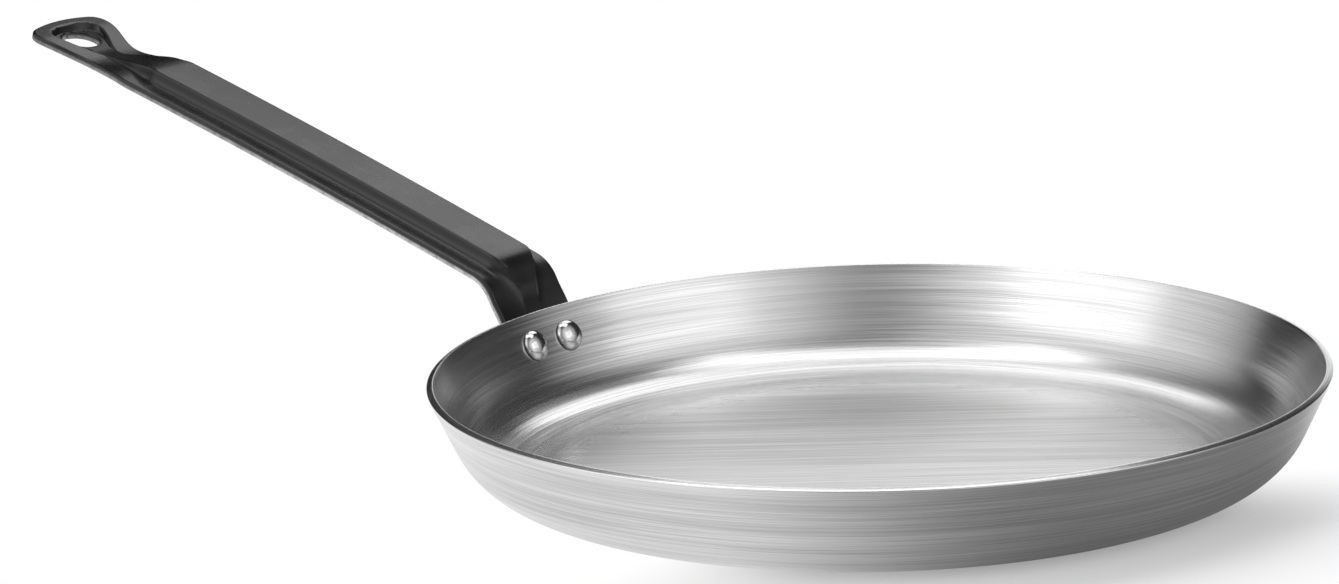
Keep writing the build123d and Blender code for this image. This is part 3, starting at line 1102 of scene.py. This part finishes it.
def floor_material(stage, finish):
    """Pale matt floor that is white where it is seen and keeps the pan's shadow, with painted
    light and shade beside the pan in reflections.
    """
    material, tree, shader = new_material("studio_floor")
    place = object_place(tree)
    camera, mirrored = ray_kinds(tree)
    fill(tree, shader, Base_Color=rgba(finish.floor), Roughness=0.9, Specular_IOR_Level=0.1)
    # The pan's shadow shows in front of it and to its right, and fades into the white
    outward = vector_maths(tree, "NORMALIZE", place)
    distance = vector_maths(tree, "LENGTH", place)
    shaded = toward(tree, stage, outward, SHADOW_AZIMUTH)
    beside = spread(tree, shaded, 0.45, 0.85, 1.0, 0.0)
    cleared = maths(tree, "MAXIMUM", beside, spread(tree, distance, *SHADOW_REACH))
    cleared = maths(tree, "MULTIPLY_ADD", cleared, 0.7, 0.3)
    away = spread(tree, distance, *MIRRORED_REACH)
    mirror_share = maths(tree, "MULTIPLY_ADD", away, 0.3, 0.7)
    mirror_share = maths(tree, "MULTIPLY", mirrored, mirror_share)
    share = maths(tree, "MAXIMUM", maths(tree, "MULTIPLY", camera, cleared), mirror_share)
    # In reflections the floor beside the pan glows with painted shade, darkest to the right of
    # the camera, and with painted light away from it
    level = spread(tree, toward(tree, stage, outward, PAINTED_SHADE_AZIMUTH), 0.25, 0.97, 1.2, 0.16)
    level = mix(tree, away, level, 1.0, "FLOAT")
    # The emission is white for the camera, and in reflections carries this painted light and
    # shade
    white = tree.nodes.new("ShaderNodeEmission")
    strength = mix(tree, mirrored, 1.0, level, "FLOAT")
    fill(tree, white, Color=rgba(finish.backdrop), Strength=strength)
    blend = tree.nodes.new("ShaderNodeMixShader")
    fill(tree, blend, Fac=share)
    link(tree, shader.outputs[0], blend.inputs[1])
    link(tree, white.outputs[0], blend.inputs[2])
    link(tree, blend.outputs[0], tree.nodes["Material Output"].inputs["Surface"])
    return material


def stage_plane(name, size, material, place):
    """A plane of the stage, with its size and place set in its mesh."""
    deselect_all()
    bpy.ops.mesh.primitive_plane_add(size=1.0, location=(0, 0, 0))
    plane = start_object(name)
    plane.data.transform(place @ Matrix.Diagonal((size[0], size[1], 1.0, 1.0)))
    plane.data.materials.append(material)
    deselect_all()
    return plane


class CREPEPAN_OT_stage(bpy.types.Operator):
    """Set up the white floor, the camera and the soft studio lamps"""

    bl_idname = "crepe_pan.stage"
    bl_label = "Studio Stage"

    def execute(self, context):
        scene = context.scene
        stage, finish = scene.crepe_pan_stage, scene.crepe_pan_finish
        front = view_direction(stage, 0, 0)
        right = view_direction(stage, 90, 0)
        below = Matrix.Translation((0.0, 0.0, -FLOOR_GAP))
        stage_plane("studio_floor", [stage.floor_size] * 2, floor_material(stage, finish), below)
        studio_world(stage, finish)
        for lamp in LAMPS:
            soft_box(stage, *lamp)
        self.place_card(front, right)
        self.place_camera(scene, stage, right)
        scene.view_settings.view_transform = "Standard"
        return {"FINISHED"}

    def place_card(self, front, right):
        """Stands a black card behind the grip, seen only in reflections, to darken the ramp."""
        material, tree, shader = new_material("black_cloth")
        black = (0.01, 0.01, 0.01, 1.0)
        fill(tree, shader, Base_Color=black, Roughness=1.0, Specular_IOR_Level=0.0)
        facing = Matrix((right, Vector((0, 0, 1)), front)).transposed().to_4x4()
        middle = Vector((GRIP_PLACE, 0.0, CARD_SIZE[1] / 2))
        middle -= front * CARD_BEHIND + right * CARD_LEFT
        place = Matrix.Translation(middle) @ facing
        card = stage_plane("black_flag", CARD_SIZE, material, place)
        card.visible_camera = card.visible_diffuse = card.visible_shadow = False

    def place_camera(self, scene, stage, right):
        """Puts the camera at the photograph's place."""
        away = view_direction(stage, 0, math.degrees(stage.elevation))
        looking = Matrix((right, away.cross(right), away)).transposed()
        for turn, axis in ((stage.turn, "Y"), (stage.tilt, "X"), (stage.roll, "Z")):
            looking = looking @ Matrix.Rotation(-turn, 3, axis)
        lens = bpy.data.cameras.new("camera")
        lens.lens = stage.lens
        lens.sensor_width = 36.0
        camera = bpy.data.objects.new("camera", lens)
        scene.collection.objects.link(camera)
        camera.matrix_world = Matrix.Translation(away * stage.distance) @ looking.to_4x4()
        scene.camera = camera


# Panel and registration

class CREPEPAN_PT_panel(bpy.types.Panel):
    """Lists the pieces of the crepe pan and their sizes"""

    bl_idname = "CREPEPAN_PT_panel"
    bl_label = "Crepe Pan"
    bl_space_type = "VIEW_3D"
    bl_region_type = "UI"
    bl_category = "Crepe Pan"

    def draw(self, context):
        for operator in OPERATORS:
            self.layout.operator(operator.bl_idname)
        for name in GROUPS:
            box = self.layout.box()
            box.label(text=name.replace("crepe_pan_", "").capitalize())
            settings = getattr(context.scene, name)
            for key in settings.bl_rna.properties.keys():
                if key not in ("rna_type", "name"):
                    box.prop(settings, key)


OPERATORS = (CREPEPAN_OT_body, CREPEPAN_OT_handle, CREPEPAN_OT_rivets, CREPEPAN_OT_stage)
GROUPS = {
    "crepe_pan_body": PanSizes,
    "crepe_pan_handle": HandleSizes,
    "crepe_pan_rivets": RivetSizes,
    "crepe_pan_finish": FinishSettings,
    "crepe_pan_stage": StageSettings,
}
CLASSES = (*GROUPS.values(), *OPERATORS, CREPEPAN_PT_panel)


def register():
    """Adds the settings, the operators and the panel."""
    for each in CLASSES:
        bpy.utils.register_class(each)
    for name, group in GROUPS.items():
        setattr(bpy.types.Scene, name, PointerProperty(type=group))


def unregister():
    """Takes everything away again."""
    for name in GROUPS:
        delattr(bpy.types.Scene, name)
    for each in reversed(CLASSES):
        bpy.utils.unregister_class(each)


def main():
    """Registers the add-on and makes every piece."""
    register()
    bpy.ops.crepe_pan.body()
    bpy.ops.crepe_pan.handle()
    bpy.ops.crepe_pan.rivets()
    bpy.ops.crepe_pan.stage()


if __name__ == "__main__":
    main()
